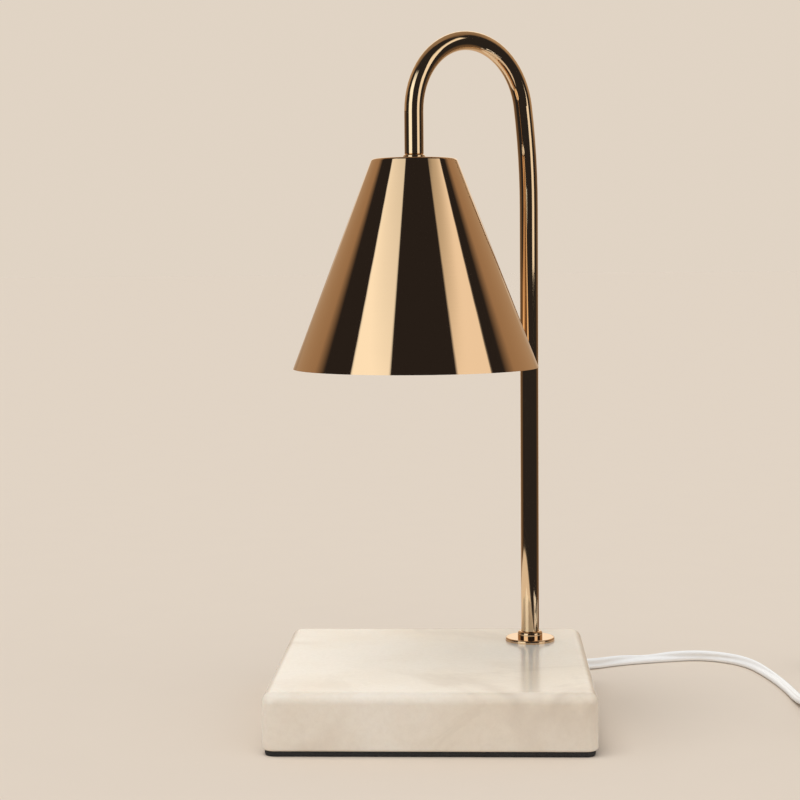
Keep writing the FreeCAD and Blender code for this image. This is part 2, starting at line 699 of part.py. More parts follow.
def rounded_route(points, radii):
    """Straight runs joined, at each inner point, by an arc that is tangent to both."""
    edges = []
    start = points[0]
    for before, corner, after, radius in zip(points, points[1:], points[2:], radii):
        back = (before - corner).normalize()
        on = (after - corner).normalize()
        half_turn = (math.pi - back.getAngle(on)) / 2
        reach = radius * math.tan(half_turn)
        arc_start = corner + back * reach
        arc_end = corner + on * reach
        middle = corner + (back + on).normalize() * (radius / math.cos(half_turn) - radius)
        edges.append(Part.LineSegment(start, arc_start).toShape())
        edges.append(Part.Arc(arc_start, middle, arc_end).toShape())
        start = arc_end
    edges.append(Part.LineSegment(start, points[-1]).toShape())
    return Part.Wire(edges)


def widest_radii(points, most=math.inf):
    """The widest arc that each pair of runs leaves room for."""
    radii = []
    for before, corner, after in zip(points, points[1:], points[2:]):
        back = before - corner
        on = after - corner
        half_turn = (math.pi - back.getAngle(on)) / 2
        widest = ARC_SHARE * min(back.Length, on.Length) / math.tan(half_turn)
        radii.append(min(widest, most))
    return radii


def swept(label, points, radii, wide):
    """A round solid of that width along the route, its volume checked against its length."""
    route = rounded_route(points, radii)
    section = Part.Wire(Part.makeCircle(wide / 2, points[0], points[1] - points[0]))
    solid = route.makePipeShell([section], True, False)
    expected = math.pi * wide**2 / 4 * route.Length
    if abs(solid.Volume / expected - 1) > 0.01:
        raise ValueError(f"{label} isn't a whole sweep")
    print(f"{label}: {route.Length:.0f} long, radii", *(f"{radius:.0f}" for radius in radii))
    shaped(label, solid)


def cord_run(label, x, y, route, first_level, last_level):
    """One length of cord from its route and the heights of its two ends."""
    points = []
    for index, (aside, backwards, share) in enumerate(route):
        level = first_level if index < len(route) / 2 else last_level
        height = f"table_level + {share} * ({level} - table_level)"
        points.append(spot(f"{x} + {aside}", f"{y} + {backwards}", height))
    swept(label, points, widest_radii(points), number("cord_wide"))


def from_dimmer(distance):
    """x and y formulas of a spot on the dimmer's line, that far from its near strain relief."""
    aside, backwards, _ = LEAD_ROUTE[-1]
    return ahead(f"cord_x + {aside}", f"back_side + {backwards}", DIMMER_TURN, distance)


def beyond_dimmer(aside, backwards):
    """x and y formulas of a spot given from the tip of the dimmer's far strain relief."""
    x, y = from_dimmer("dimmer_long + 2 * relief_long")
    return f"{x} + {aside}", f"{y} + {backwards}"


def cords():
    cord_run("cord_lead", "cord_x", "back_side", LEAD_ROUTE, "cord_level", "dimmer_high / 2")
    x, y = beyond_dimmer(0, 0)
    cord_run("cord_link", x, y, LINK_ROUTE, "dimmer_high / 2", "coil_level")
    cord_run("cord_tail", x, y, TAIL_ROUTE, "coil_level", "plug_level")


def cord_coil():
    inner, outer = "(coil_mean - coil_band) / 2", "(coil_mean + coil_band) / 2"
    body = turned("cord_coil", ring_profile(inner, outer, "0", "coil_high"))
    soften(body, "coil_high * 0.4", lambda edge: edge.Length > 20)
    place(body, *beyond_dimmer(*COIL_PLACE), "coil_lift")


def cord_tie():
    """A band that closes round the coil's turns."""
    body = new_body("cord_tie")
    inner = "sqrt((coil_mean - coil_band) ^ 2 - tie_wide ^ 2) / 2 - fit"
    outer = "(coil_mean + coil_band) / 2 + fit"
    low, high = "coil_lift - fit", "coil_lift + coil_high + fit"
    band = new_sketch(body, "XZ_Plane", "-tie_wide / 2")
    skin = " + tie_thick"
    box_outline(band, inner + " - tie_thick", low + " - tie_thick", outer + skin, high + skin)
    box_outline(band, inner, low, outer, high)
    pad(body, band, "tie_wide")
    place(body, *beyond_dimmer(*COIL_PLACE), "0", TIE_TURN)


def lamp_wires():
    """Two insulated wires from the terminal block, through the tube, into the lamp holder."""
    turn = math.radians(number("arm_turn"))
    along = Vector(math.cos(turn), math.sin(turn), 0)
    across = Vector(-math.sin(turn), math.cos(turn), 0)
    low = number("pad_thick + wire_level")
    pole = spot("pole_x", "pole_y")
    neck = spot("shade_x", "shade_y")
    front_wall = number("pole_y - recess_front")
    bend = Vector(0, 0, number("foot_level + pole_rise + ease_radius * tan(ease_angle / 2)"))
    top = Vector(0, 0, number("foot_level + bow_rise + bow_radius"))
    bow_start = along * number("bow_aside - bow_radius * tan(45 - ease_angle / 2)")
    leaving = Vector(0, 0, number("neck_level - neck_thread - 1.5"))
    above_holder = Vector(0, 0, number("holder_top + 2"))
    in_holder = Vector(0, 0, number("holder_top - 4"))
    tube_radii = [0.99 * number(size) for size in ("ease_radius", "bow_radius", "bow_radius")]
    for label, side, wall_gap, pole_gap in (("lamp_wire_live", -1, 7, 4.5),
                                            ("lamp_wire_neutral", 1, 3.2, -0.3)):
        shift = across * (side * number("core_apart / 2"))
        spread = across * (side * number("pin_apart / 2"))
        door_x = number("block_x") - side * number("block_pitch / 2")
        points = [
            Vector(door_x, number("block_y + 6"), low),
            Vector(door_x, front_wall + wall_gap, low),
            Vector(pole.x - pole_gap, front_wall + wall_gap, low),
            pole + shift + Vector(0, 0, low),
            pole + shift + bend,
            pole + shift + bow_start + top,
            neck + shift + top,
            neck + shift + leaving,
            neck + spread + above_holder,
            neck + spread + in_holder,
        ]
        radii = widest_radii(points, 5)
        radii[3:6] = tube_radii
        radii[6:] = widest_radii(points[6:], 3)
        swept(label, points, radii, number("core_wide"))


def cord_cores():
    """The cord's own two conductors, from its cut end to the terminal block."""
    low = number("pad_thick + wire_level")
    aside, backwards, _ = LEAD_ROUTE[0]
    start = spot(f"cord_x + {aside}", f"back_side + {backwards}", "cord_level")
    block_back = number("block_y + block_long")
    for label, side, gap in (("cord_core_neutral", -1, 6.5), ("cord_core_live", 1, 2.5)):
        first = start + Vector(side * number("core_apart / 2"), 0, 0)
        door_x = number("block_x") + side * number("block_pitch / 2")
        points = [
            first,
            Vector(first.x, block_back + gap, first.z),
            Vector(door_x, block_back + gap, low),
            Vector(door_x, block_back - 6, low),
        ]
        swept(label, points, widest_radii(points, 6), number("core_wide"))


# Shade and bulb


def shade_bead():
    body = turned("shade_bead", ring_profile("hole_wide / 2", "bead_wide / 2", "0", "bead_thick"))
    for level in ("0", "bead_thick"):
        soften(body, "bead_thick * 0.45", ring_at(number("bead_wide / 2"), number(level)))
    place(body, "shade_x", "shade_y", "shade_top")


def shade():
    """A spun cone with a flat top, open at the bottom."""
    hole, top, rim = "hole_wide / 2", "shade_top_wide / 2", "shade_rim_wide / 2"
    body = turned("shade", [
        (hole, "shade_high"),
        (hole, "shade_high - shade_wall"),
        (top + " - shade_skin + shade_wall * shade_slope", "shade_high - shade_wall"),
        (rim + " - shade_skin", "0"),
        (rim, "0"),
        (top, "shade_high"),
    ])
    soften(body, "shade_top_round", ring_at(number(top), number("shade_high")))
    place(body, "shade_x", "shade_y", "rim_level")


def holder_strap():
    """A bent strip: a top plate on the nipple, two legs and two feet on the holder."""
    body = new_body("holder_strap")
    out = "strap_long / 2"
    foot = "(strap_long / 2 - strap_foot)"
    leg = "(strap_long / 2 - strap_thick)"
    under = "strap_high - strap_thick"
    strip = outline(new_sketch(body, "XZ_Plane", "-strap_wide / 2"), [
        ("-" + out, "0"), ("-" + foot, "0"), ("-" + foot, "strap_thick"),
        ("-" + leg, "strap_thick"), ("-" + leg, under), (leg, under), (leg, "strap_thick"),
        (foot, "strap_thick"), (foot, "0"), (out, "0"), (out, "strap_high"),
        ("-" + out, "strap_high"),
    ])
    pad(body, strip, "strap_wide")
    reach = number(out)

    def outer_bend(edge):
        return edge.BoundBox.YLength > 1 and abs(abs(edge.CenterOfMass.x) - reach) < 1e-3

    soften(body, "strap_thick * 0.9", outer_bend)
    hole = circle(new_sketch(body, height="strap_high + 1"), "hole_wide / 2")
    pocket(body, hole, "strap_thick + 2")
    screws = new_sketch(body, height="strap_thick + 1")
    for side in ("-screw_out", "screw_out"):
        circle(screws, "screw_wide / 2 + metal_fit", side)
    pocket(body, screws, "strap_thick + 2")
    place(body, "shade_x", "shade_y", "holder_top", "arm_turn")


def holder_screws():
    pattern = slotted_screw("screw_head_wide / 2", "screw_head_high", "screw_wide / 2", "screw_long")
    level = "holder_top + strap_thick"
    spots = [spot(*ahead("shade_x", "shade_y", "arm_turn", side), level)
             for side in ("-screw_out", "screw_out")]
    repeated("holder_screws", pattern, spots, Rotation(Vector(0, 0, 1), number("arm_turn")))


def lamp_holder():
    """The ceramic holder: two curved slots let the bulb's pins in and lock behind a ledge."""
    body = new_body("lamp_holder")
    pad(body, circle(new_sketch(body), "holder_wide / 2"), "holder_high")
    soften(body, "1", lambda edge: edge.Length > 50, "Chamfer")
    ring = "pin_apart / 2"
    neck = "(pin_wide / 2 + pin_play)"
    head = "(pin_head_wide / 2 + pin_play)"
    roof = "slot_ledge + pin_head_high + slot_over"
    slots = (
        (neck, "-1", "slot_ledge + 0.1"),
        (head, "slot_ledge", roof),
    )
    cuts = []
    for half, low, high in slots:
        section = new_sketch(body, "XZ_Plane")
        box_outline(section, f"{ring} - {half}", low, f"{ring} + {half}", high)
        cuts.append(groove(body, section, "lock_turn"))
        seat = circle(new_sketch(body, height=low), half, ring)
        cuts.append(pocket(body, seat, f"{high} - ({low})", True))
    door = circle(new_sketch(body), head, ring + " * cos(lock_turn)", ring + " * sin(lock_turn)")
    cuts.append(pocket(body, door, roof, True))
    around(body, cuts, "2")
    wires = new_sketch(body, height="holder_high")
    for side in ("-" + ring, ring):
        circle(wires, "core_wide / 2 + fit", "0", side)
    pocket(body, wires, "5")
    screws = new_sketch(body, height="holder_high")
    for side in ("-screw_out", "screw_out"):
        circle(screws, "screw_wide / 2 + metal_fit", side)
    pocket(body, screws, "screw_long")
    place(body, "shade_x", "shade_y", "holder_face", "arm_turn")


def bulb_reflector():
    """The bulb's glass body: a solid neck and a bell that opens downwards."""
    neck, face = "bulb_neck_wide / 2", "bulb_wide / 2"
    shoulder = (face + " - 0.6", "-bulb_high * 0.86")
    inside = face + " - glass_wall"
    seat = "lens_sunk - bulb_high"
    root = "-bulb_neck_high - 5"
    body = turned("bulb_reflector", [
        ("0", "0"),
        (neck, "0"),
        (neck, "-bulb_neck_high"),
        shoulder,
        (face, "-bulb_high * 0.91"),
        (face, "-bulb_high"),
        (inside, "-bulb_high"),
        (inside, seat),
        (inside + " - 1.2", seat),
        (inside + " - 1.4", "-bulb_high * 0.84"),
        ("capsule_wide / 2 + 2", root),
        ("0", root),
    ])
    soften(body, "1.2", ring_at(number(neck), 0))
    soften(body, "6", ring_at(number(shoulder[0]), number(shoulder[1])))
    place(body, "shade_x", "shade_y", "bulb_top")


def bulb_lens():
    edge = "bulb_wide / 2 - glass_wall - 0.1"
    body = turned("bulb_lens", ring_profile("0", edge, "-lens_thick", "0"))
    place(body, "shade_x", "shade_y", "bulb_top - bulb_high + lens_sunk")


def bulb_capsule():
    edge = "capsule_wide / 2"
    body = turned("bulb_capsule", ring_profile("0", edge, "-capsule_long", "0"))
    soften(body, "capsule_wide * 0.4", ring_at(number(edge), -number("capsule_long")))
    place(body, "shade_x", "shade_y", "bulb_top - bulb_neck_high - 5")


def bulb_pins():
    """Two headed pins that stand on the bulb's neck."""
    neck, head = "pin_wide / 2", "pin_head_wide / 2"
    ledge = "bulb_gap + slot_ledge + pin_play"
    pattern = turned("pin_pattern", [
        ("0", "0"), (neck, "0"), (neck, ledge), (head, ledge),
        (head, ledge + " + pin_head_high"), ("0", ledge + " + pin_head_high"),
    ], kept=False)
    spots = [spot(*ahead("shade_x", "shade_y", "arm_turn", side), "bulb_top")
             for side in ("-pin_apart / 2", "pin_apart / 2")]
    repeated("bulb_pins", pattern, spots, Rotation())


# Dimmer and plug on the cord


def shell(label, wheel_y):
    """One half of the dimmer's housing, from its outer face up to the parting plane."""
    body = new_body(label)
    long, wide, half = "dimmer_long / 2", "dimmer_wide / 2", "dimmer_high / 2"
    pad(body, round_box(new_sketch(body), long, wide, "dimmer_round"), half)
    soften(body, "dimmer_edge", at_height(0))
    inner_long, inner_wide = f"({long} - dimmer_wall)", f"({wide} - dimmer_wall)"
    cavity = new_sketch(body, height=half)
    round_box(cavity, inner_long, inner_wide, "(dimmer_round - dimmer_wall)")
    pocket(body, cavity, half + " - dimmer_wall")
    bosses = new_sketch(body, height="dimmer_wall / 2")
    for side in ("-bosses_apart / 2", "bosses_apart / 2"):
        circle(bosses, "boss_wide / 2", side)
    pad(body, bosses, half + " - dimmer_wall / 2")
    slot = circle(new_sketch(body, height=half), "wheel_wide / 2 + wheel_gap", "0", wheel_y)
    pocket(body, slot, "wheel_thick / 2 + wheel_gap / 2")
    for side, back in (("-1", True), ("1", False)):
        mouth = new_sketch(body, "YZ_Plane", f"{side} * ({long} + 1)")
        pocket(body, circle(mouth, "relief_tip / 2 + fit / 2", "0", half), "dimmer_wall + 2", back)
    return body


def screw_holes(body, height, radius, depth, back=False):
    holes = new_sketch(body, height=height)
    for side in ("-bosses_apart / 2", "bosses_apart / 2"):
        circle(holes, radius, side)
    pocket(body, holes, depth, back)


def dimmer_shells():
    half = "dimmer_high / 2"
    place_x, place_y = from_dimmer("relief_long + dimmer_long / 2")
    lower = shell("dimmer_lower_shell", "-wheel_y")
    rests = new_sketch(lower, height="dimmer_wall / 2")
    for middle in ("-board_long / 3", "board_long / 3"):
        box_outline(rests, middle + " - 1", "-board_wide / 2", middle + " + 1", "board_wide / 2")
    pad(lower, rests, "board_level - dimmer_wall / 2")
    screw_holes(lower, half, "screw_wide / 2 + metal_fit", half + " + 1")
    screw_holes(lower, "0", "screw_head_wide / 2 + fit", "screw_head_high + fit", True)
    place(lower, place_x, place_y, "0", DIMMER_TURN)
    upper = shell("dimmer_upper_shell", "wheel_y")
    bearing = circle(new_sketch(upper, height="dimmer_wall / 2"), "stub_wide / 2 + 2", "0", "wheel_y")
    pad(upper, bearing, half + " - dimmer_wall / 2 - wheel_thick / 2 - wheel_gap / 2")
    bore = circle(new_sketch(upper, height=half), "stub_wide / 2 + metal_fit", "0", "wheel_y")
    pocket(upper, bore, "wheel_thick / 2 + stub_long + wheel_gap")
    screw_holes(upper, half, "screw_wide / 2 + metal_fit", half + " - dimmer_wall")
    place(upper, place_x, place_y, "dimmer_high")
    over = Rotation(Vector(1, 0, 0), 180)
    upper.Placement.Rotation = Rotation(Vector(0, 0, 1), DIMMER_TURN) * over


def dimmer_inside():
    """The circuit board, its turning control and the two screws that close the shells."""
    place_x, place_y = from_dimmer("relief_long + dimmer_long / 2")
    board = new_body("dimmer_board")
    half_x, half_y = "board_long / 2", "board_wide / 2"
    card = box_outline(new_sketch(board), "-" + half_x, "-" + half_y, half_x, half_y)
    pad(board, card, "board_thick")
    place(board, place_x, place_y, "board_level", DIMMER_TURN)
    control = new_body("dimmer_control")
    side = "control_side / 2"
    low, high = f"-wheel_y - {side}", f"-wheel_y + {side}"
    top = "dimmer_high / 2 - wheel_thick / 2 - wheel_gap / 2"
    case = box_outline(new_sketch(control), "-" + side, low, side, high)
    pad(control, case, f"{top} - board_level - board_thick")
    bore = circle(new_sketch(control), "stub_wide / 2 + metal_fit", "0", "-wheel_y")
    pocket(control, bore, "dimmer_high", True)
    place(control, place_x, place_y, "board_level + board_thick", DIMMER_TURN)
    pattern = slotted_screw(
        "screw_head_wide / 2", "screw_head_high", "screw_wide / 2", "dimmer_screw_long"
    )
    spots = [spot(*ahead(place_x, place_y, DIMMER_TURN, reach), "screw_head_high + fit")
             for reach in ("-bosses_apart / 2", "bosses_apart / 2")]
    repeated("dimmer_screws", pattern, spots, Rotation(Vector(1, 0, 0), 180))


def dimmer_wheel():
    """A ridged thumb wheel with a stub shaft at each side."""
    body = new_body("dimmer_wheel")
    rim = "wheel_wide / 2"
    pad(body, circle(new_sketch(body, height="-wheel_thick / 2"), rim), "wheel_thick")
    soften(body, "wheel_groove", lambda edge: edge.Length > 20, "Chamfer")
    stub = circle(new_sketch(body, height="-wheel_thick / 2 - stub_long"), "stub_wide / 2")
    pad(body, stub, "wheel_thick + 2 * stub_long")
    ridge = circle(new_sketch(body, height="wheel_thick / 2 + 1"), "wheel_groove", rim)
    around(body, [pocket(body, ridge, "wheel_thick + 2")], "wheel_ridges")
    middle = from_dimmer("relief_long + dimmer_long / 2")
    place(body, *ahead(*middle, DIMMER_TURN - 90, "wheel_y"), "dimmer_high / 2", DIMMER_TURN)


def strain_relief(label, x, y, z, heading, rooted):
    """A tapered, grooved sleeve; in the dimmer its root passes the shells and locks behind them."""
    wide, tip, long = "relief_wide / 2", "relief_tip / 2", "relief_long"
    taper = f"({tip} - {wide})"
    corners = [("0", "0"), (wide, "0")]
    if rooted:
        collar = wide + " - 0.4"
        inside = "-dimmer_wall - 0.1"
        corners = [("0", inside + " - 2"), (collar, inside + " - 2"), (collar, inside),
                   (tip, inside), (tip, "0"), (wide, "0")]
    for share in (0.18, 0.4, 0.62):
        near, far = f"{wide} + {taper} * {share}", f"{wide} + {taper} * ({share} + 0.1)"
        low, high = f"{long} * {share}", f"{long} * ({share} + 0.1)"
        corners += [(near, low), (near + " - relief_groove", low), (far + " - relief_groove", high),
                    (far, high)]
    corners += [(tip, long), ("0", long)]
    body = turned(label, corners)
    lay(body, x, y, z, heading)


def plug_tip():
    """x and y formulas of the spot where the cord's tail meets the plug's strain relief."""
    return beyond_dimmer(TAIL_ROUTE[-1][0], TAIL_ROUTE[-1][1])


def reliefs():
    level = "dimmer_high / 2"
    near = from_dimmer("relief_long")
    far = from_dimmer("relief_long + dimmer_long")
    strain_relief("dimmer_relief_near", *near, level, DIMMER_TURN + 180, rooted=True)
    strain_relief("dimmer_relief_far", *far, level, DIMMER_TURN, rooted=True)
    root = ahead(*plug_tip(), PLUG_TURN, "relief_long")
    strain_relief("plug_relief", *root, "plug_level", PLUG_TURN + 180, rooted=False)


def plug_body():
    """A moulded plug that widens in two steps towards its face."""
    body = new_body("plug_body")
    sections = []
    for height, share in (("0", 0.68), ("plug_long / 2", 0.88), ("plug_long", 1)):
        half_x, half_y = f"plug_thick / 2 * {share}", f"plug_wide / 2 * {share}"
        section = new_sketch(body, height=height)
        sections.append(round_box(section, half_x, half_y, f"plug_round * {share}"))
    loft = body.newObject("PartDesign::AdditiveLoft", "plug_loft")
    loft.Profile = sections[0]
    loft.Sections = sections[1:]
    document.recompute()
    lay(body, *ahead(*plug_tip(), PLUG_TURN, "relief_long"), "plug_level", PLUG_TURN)


def plug_blades():
    pattern = new_body("blade_pattern", kept=False)
    half_x, half_y = "blade_wide / 2", "blade_thick / 2"
    bar = box_outline(new_sketch(pattern), "-" + half_x, "-" + half_y, half_x, half_y)
    pad(pattern, bar, "blade_long")
    long = number("blade_long")

    def tip_side(edge):
        box = edge.BoundBox
        return abs(edge.CenterOfMass.z - long) < 1e-3 and box.YLength > 0.1 and box.XLength < 1e-3

    soften(pattern, "blade_wide / 5", tip_side, "Chamfer")
    hole = circle(new_sketch(pattern, "XZ_Plane", "-1"), "blade_hole / 2", "0", "blade_long - 3.5")
    pocket(pattern, hole, "2", True)
    lying = Rotation(Vector(0, 0, 1), PLUG_TURN) * Rotation(Vector(0, 1, 0), 90)
    face = ahead(*plug_tip(), PLUG_TURN, "relief_long + plug_long")
    spots = [spot(*ahead(*face, PLUG_TURN + 90, side), "plug_level")
             for side in ("-blades_apart / 2", "blades_apart / 2")]
    repeated("plug_blades", pattern, spots, lying)


def check():
    for item in document.Objects:
        if "Invalid" in item.State or "Error" in item.State:
            raise ValueError(f"{item.Name} failed to build")
    for node in nodes:
        if node.Shape.isNull() or not node.Shape.isValid():
            raise ValueError(f"{node.Label} has no valid shape")


def write():
    os.makedirs("parts", exist_ok=True)
    for node in nodes:
        node.Shape.exportStep(f"parts/{node.Label}.step")
        print(f"{node.Label}: {node.Shape.Volume:.0f} mm3, {len(node.Shape.Solids)} solid")


fill_sheet()
marble_base()
base_pad()
pole_flange()
pole_ring()
base_fixings()
cord_bushing()
terminal_block()
terminal_screws()
lamp_tube()
neck_fixings()
lamp_wires()
cord_cores()
shade_bead()
shade()
holder_strap()
holder_screws()
lamp_holder()
bulb_reflector()
bulb_lens()
bulb_capsule()
bulb_pins()
cords()
cord_coil()
cord_tie()
dimmer_shells()
dimmer_inside()
dimmer_wheel()
reliefs()
plug_body()
plug_blades()
document.recompute()
check()
write()
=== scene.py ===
"""Candle warmer lamp: finishes, cord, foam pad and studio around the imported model.

Metres, in the model's own frame: +X is the lamp's right, +Y its back and +Z up.
"""

import json
import math

import bmesh
import bpy
from mathutils import Matrix, Vector


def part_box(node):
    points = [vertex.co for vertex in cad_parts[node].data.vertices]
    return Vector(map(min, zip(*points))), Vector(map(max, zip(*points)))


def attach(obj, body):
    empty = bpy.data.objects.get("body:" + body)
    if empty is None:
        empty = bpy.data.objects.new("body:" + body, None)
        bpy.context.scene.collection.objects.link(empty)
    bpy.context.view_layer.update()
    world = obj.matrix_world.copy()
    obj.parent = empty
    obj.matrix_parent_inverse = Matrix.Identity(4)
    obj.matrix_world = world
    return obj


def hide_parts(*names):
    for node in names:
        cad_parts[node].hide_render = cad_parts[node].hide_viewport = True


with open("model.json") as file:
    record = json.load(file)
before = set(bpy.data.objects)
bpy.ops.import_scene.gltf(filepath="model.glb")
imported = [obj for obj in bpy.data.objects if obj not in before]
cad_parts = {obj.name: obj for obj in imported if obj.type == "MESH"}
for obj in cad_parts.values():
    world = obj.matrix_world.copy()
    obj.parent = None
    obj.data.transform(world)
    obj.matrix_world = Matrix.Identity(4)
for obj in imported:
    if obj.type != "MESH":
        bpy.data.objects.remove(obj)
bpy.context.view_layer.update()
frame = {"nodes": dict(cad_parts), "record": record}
nodes = frame["nodes"]

MM = 0.001

# Camera. Its angles are in radians.

CAMERA_PLACE = Vector((0.021796, -0.872056, 0.219344))
CAMERA_YAW = 0.0419934
CAMERA_PITCH = 0.0755711
CAMERA_ROLL = -0.0084225
FOCAL_PIXELS = 1833.7
PICTURE_PIXELS = 800
SENSOR = 36
CLIP_START = 0.05
CLIP_END = 100


def make_camera():
    ahead = Vector((
        -math.sin(CAMERA_YAW) * math.cos(CAMERA_PITCH),
        math.cos(CAMERA_YAW) * math.cos(CAMERA_PITCH),
        -math.sin(CAMERA_PITCH),
    ))
    level = Vector((math.cos(CAMERA_YAW), math.sin(CAMERA_YAW), 0))
    rise = level.cross(ahead)
    right = math.cos(CAMERA_ROLL) * level + math.sin(CAMERA_ROLL) * rise
    up = math.cos(CAMERA_ROLL) * rise - math.sin(CAMERA_ROLL) * level
    data = bpy.data.cameras.new("camera")
    data.sensor_width = SENSOR
    data.lens = FOCAL_PIXELS * SENSOR / PICTURE_PIXELS
    data.clip_start = CLIP_START
    data.clip_end = CLIP_END
    camera = bpy.data.objects.new("camera", data)
    axes = Matrix((right, up, -ahead)).transposed().to_4x4()
    camera.matrix_world = Matrix.Translation(CAMERA_PLACE) @ axes
    bpy.context.scene.collection.objects.link(camera)
    bpy.context.scene.camera = camera


# Cord: a flat twin flex. A point is x, y, its height and the tilt of its wide side in degrees;
# a height of None lets it lie on the table. Points and the coil's sizes are in millimetres.

CORD_WIDE = 5.6 * MM
CORD_THICK = 2.8 * MM
CORD_LIFT = 0.1 * MM
# The outline of each core: corners each side of its outermost point, and degrees between them.
CORE_CORNERS = 6
CORE_STEP = 22
LEAD = [
    (60, 62, 6.5, 0), (60, 79.5, 6.3, 10), (67, 95.5, 3.9, 60), (84, 102.5, 2.9, 90),
    (99, 112.5, None, 60), (114, 118.5, None, 15), (130, 122.5, None, 80), (148, 124, None, 90),
    (167, 109.5, None, 60), (175, 79, None, 15), (179, 50, None, 0), (180, 21, 2.1, 0),
    (182.5, -1, 6.7, 0), (188, -17, 8.5, 0),
]
# The dimmer's far end, from which the link, the coil and the tail are measured.
DIMMER_TIP = Vector((215.2, -100.7))
LINK = [
    (0, 0, 8.5, 0), (5.9, -18.1, 6.8, 0), (20.4, -30.3, 3.2, 0), (39.2, -32.9, None, 0),
    (56.6, -25.2, None, 0), (67.2, -9.4, None, 0), (68, 12.5, None, 0), (67.7, 44.5, None, 0),
]
TAIL = [
    (23.7, 119.6, 3.6, 0), (10.7, 129, None, 0), (3.1, 143, 5.4, 0), (2.2, 159, 8.1, 0),
]
COIL_CENTRE = Vector((33.3, 81.7))
COIL_MEAN = 30
COIL_PITCH = 5.65
COIL_LOW = 2.75
COIL_LAYER = 2.95
# Degrees: where the coil starts and ends, between its points, and over which it changes its place.
COIL_START = -6.7
COIL_END = 80
COIL_STEP = 18
CROSSING = 50
# The turns wander in and out by this much, so many times in a turn.
WANDER = 0.25
WANDER_WAVES = 0.83
# Which column and layer each full turn lies in, from the outside in and out again.
TURNS = [(1, 0), (0, 0), (-1, 0), (-1, 1), (0, 1), (1, 1)]


def resting(tilt):
    """Height of the cord's middle where it lies on the table with its wide side at that tilt."""
    spread = (CORD_WIDE - CORD_THICK) / 2 * abs(math.sin(math.radians(tilt)))
    return CORD_LIFT + CORD_THICK / 2 + spread


def cord_points(rows, start=Vector((0, 0))):
    points = []
    for x, y, height, tilt in rows:
        z = resting(tilt) if height is None else height * MM
        points.append((Vector(((x + start.x) * MM, (y + start.y) * MM, z)), math.radians(tilt)))
    return points


def coil_points():
    """The coil's turns: each keeps to its column and layer, then crosses to the next one's."""
    centre = DIMMER_TIP + COIL_CENTRE
    points = []
    last = COIL_END + 360 * (len(TURNS) - 1)
    angle = COIL_START
    while angle <= last:
        turn = int((angle - COIL_START) // 360)
        along = (angle - COIL_START) % 360
        share = max(0, (along - 360 + CROSSING) / CROSSING)
        share = share * share * (3 - 2 * share)
        here = TURNS[turn]
        following = TURNS[min(turn + 1, len(TURNS) - 1)]
        column = here[0] + share * (following[0] - here[0])
        layer = here[1] + share * (following[1] - here[1])
        loose = WANDER * math.sin(math.radians(angle * WANDER_WAVES) + turn)
        radius = COIL_MEAN + COIL_PITCH * column + loose
        side = Vector((math.cos(math.radians(angle)), math.sin(math.radians(angle))))
        spot = (centre + side * radius) * MM
        points.append((Vector((spot.x, spot.y, (COIL_LOW + COIL_LAYER * layer) * MM)), 0))
        angle += COIL_STEP
    return points


def flex_section():
    """The cord's outline: two round cores side by side, with a valley between them."""
    radius = CORD_THICK / 2
    reach = CORD_WIDE / 2 - radius
    corners = []
    for side in (1, -1):
        for step in range(-CORE_CORNERS, CORE_CORNERS + 1):
            angle = math.radians(step * CORE_STEP)
            x = side * (reach + radius * math.cos(angle))
            corners.append((x, side * radius * math.sin(angle)))
    data = bpy.data.curves.new("flex_section", "CURVE")
    data.dimensions = "2D"
    spline = data.splines.new("POLY")
    spline.points.add(len(corners) - 1)
    for point, (x, y) in zip(spline.points, corners):
        point.co = (x, y, 0, 1)
    spline.use_cyclic_u = True
    section = bpy.data.objects.new("flex_section", data)
    section.hide_render = True
    bpy.context.scene.collection.objects.link(section)
    return section


def make_flex(name, points, section, stands_for):
    data = bpy.data.curves.new(name, "CURVE")
    data.dimensions = "3D"
    data.twist_mode = "Z_UP"
    data.bevel_mode = "OBJECT"
    data.bevel_object = section
    data.use_fill_caps = True
    data.resolution_u = 6
    spline = data.splines.new("NURBS")
    spline.points.add(len(points) - 1)
    for point, (place, tilt) in zip(spline.points, points):
        point.co = (*place, 1)
        point.tilt = tilt
    spline.order_u = 3
    spline.use_endpoint_u = True
    spline.use_smooth = True
    flex = bpy.data.objects.new(name, data)
    bpy.context.scene.collection.objects.link(flex)
    data.materials.append(cord_plastic())
    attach(flex, "lamp")
    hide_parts(*stands_for)
    return flex


def make_cords():
    section = flex_section()
    lead = cord_points(LEAD)
    flex_lead = make_flex("flex_lead", lead, section, ["cord_lead"])
    link = cord_points(LINK, DIMMER_TIP)
    tail = cord_points(TAIL, DIMMER_TIP)
    rest = link + coil_points() + tail
    flex_rest = make_flex("flex_rest", rest, section, ["cord_link", "cord_coil", "cord_tail"])


# Nodes


def material(name, colour, roughness, metallic=0.0):
    """A new material of one plain colour and roughness, and its shader."""
    made = bpy.data.materials.new(name)
    made.use_nodes = True
    shader = made.node_tree.nodes["Principled BSDF"]
    shader.inputs["Base Color"].default_value = (*colour, 1)
    shader.inputs["Roughness"].default_value = roughness
    shader.inputs["Metallic"].default_value = metallic
    return made, shader


def node(made, kind, **values):
    """A new node, its own settings and the values of its inputs given by name."""
    new = made.node_tree.nodes.new("ShaderNode" + kind)
    for name, value in values.items():
        if hasattr(new, name):
            setattr(new, name, value)
        else:
            new.inputs[name].default_value = value
    return new


def join(made, source, target):
    made.node_tree.links.new(source, target)


def finished(made, shader, colour, roughness=None):
    """Gives the shader a colour, and perhaps a roughness, that nodes vary."""
    join(made, colour, shader.inputs["Base Color"])
    if roughness is not None:
        join(made, roughness, shader.inputs["Roughness"])


def place_of(made):
    """The point on the piece, in metres."""
    return node(made, "TexCoord").outputs["Object"]


